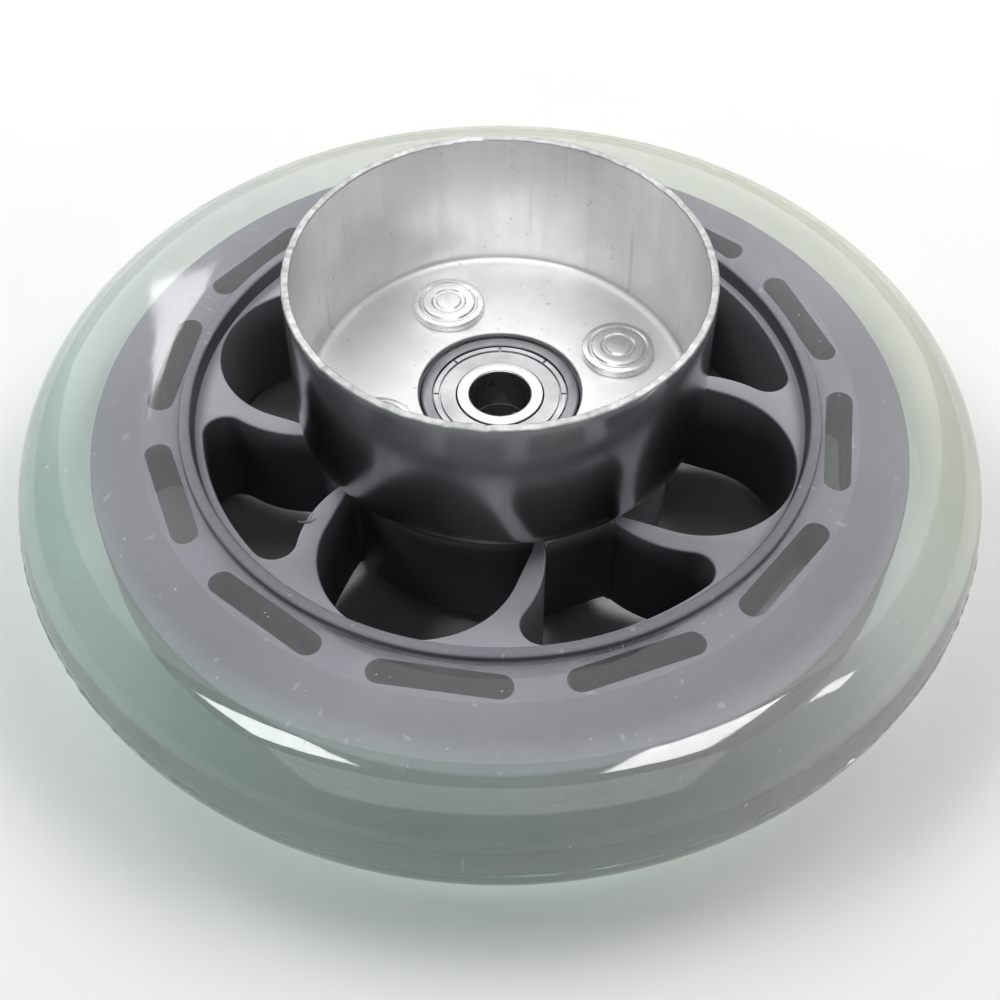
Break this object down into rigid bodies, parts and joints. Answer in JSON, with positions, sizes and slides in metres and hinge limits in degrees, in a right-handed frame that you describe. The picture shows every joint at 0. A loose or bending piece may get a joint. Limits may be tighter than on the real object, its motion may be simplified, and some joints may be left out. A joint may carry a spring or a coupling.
{
  "type": "caster wheel with brake drum",
  "caption": "Clear polyurethane caster wheel on a moulded core with curved spokes, a riveted deep-drawn brake drum and shielded ball bearings.",
  "frame": {"origin": "on the spin axis, in the plane of the rear rim lip that the wheel lies on", "axes": "+Z along the spin axis, from the rear face towards the open mouth of the brake drum; the first lobed window and the first drum rivet lie 24 degrees from +X towards +Y"},
  "size_m": [0.16, 0.16, 0.0516],
  "materials": {
    "clear_polyurethane": "clear cast polyurethane, glossy, faint cream tint",
    "grey_nylon": "moulded, satin grey with a lilac cast",
    "drum_steel": "deep drawn, zinc plated, satin",
    "rivet_steel": "plated, cold headed",
    "ring_steel": "ground bearing steel",
    "shield_steel": "pressed sheet",
    "ball_steel": "polished",
    "cage_steel": "pressed ribbon",
    "spacer_aluminium": "turned"
  },
  "bodies": {
    "wheel": {"tyre": "clear_polyurethane", "hub_core": "grey_nylon", "brake_drum": "drum_steel", "drum_rivets": "rivet_steel", "rivet_washers": "rivet_steel", "front_outer_ring": "ring_steel", "front_shield_upper": "shield_steel", "front_shield_lower": "shield_steel", "rear_outer_ring": "ring_steel", "rear_shield_upper": "shield_steel", "rear_shield_lower": "shield_steel"},
    "inner_races": {"front_inner_ring": "ring_steel", "rear_inner_ring": "ring_steel", "bearing_spacer": "spacer_aluminium"},
    "front_ball_set": {"front_balls": "ball_steel", "front_cage_upper": "cage_steel", "front_cage_lower": "cage_steel", "front_cage_rivets": "cage_steel"},
    "rear_ball_set": {"rear_balls": "ball_steel", "rear_cage_upper": "cage_steel", "rear_cage_lower": "cage_steel", "rear_cage_rivets": "cage_steel"}
  },
  "joints": [
    {"name": "wheel_spin", "type": "hinge", "parent": "wheel", "child": "inner_races", "pos_m": [0, 0, 0.0127], "axis": [0, 0, 1], "continuous": true},
    {"name": "front_ball_roll", "type": "hinge", "parent": "wheel", "child": "front_ball_set", "pos_m": [0, 0, 0.021], "axis": [0, 0, 1], "continuous": true},
    {"name": "rear_ball_roll", "type": "hinge", "parent": "wheel", "child": "rear_ball_set", "pos_m": [0, 0, 0.0044], "axis": [0, 0, 1], "continuous": true}
  ],
  "couplings": [
    {"joint": "front_ball_roll", "follows": "wheel_spin", "ratio": 0.36778},
    {"joint": "rear_ball_roll", "follows": "wheel_spin", "ratio": 0.36778}
  ]
}
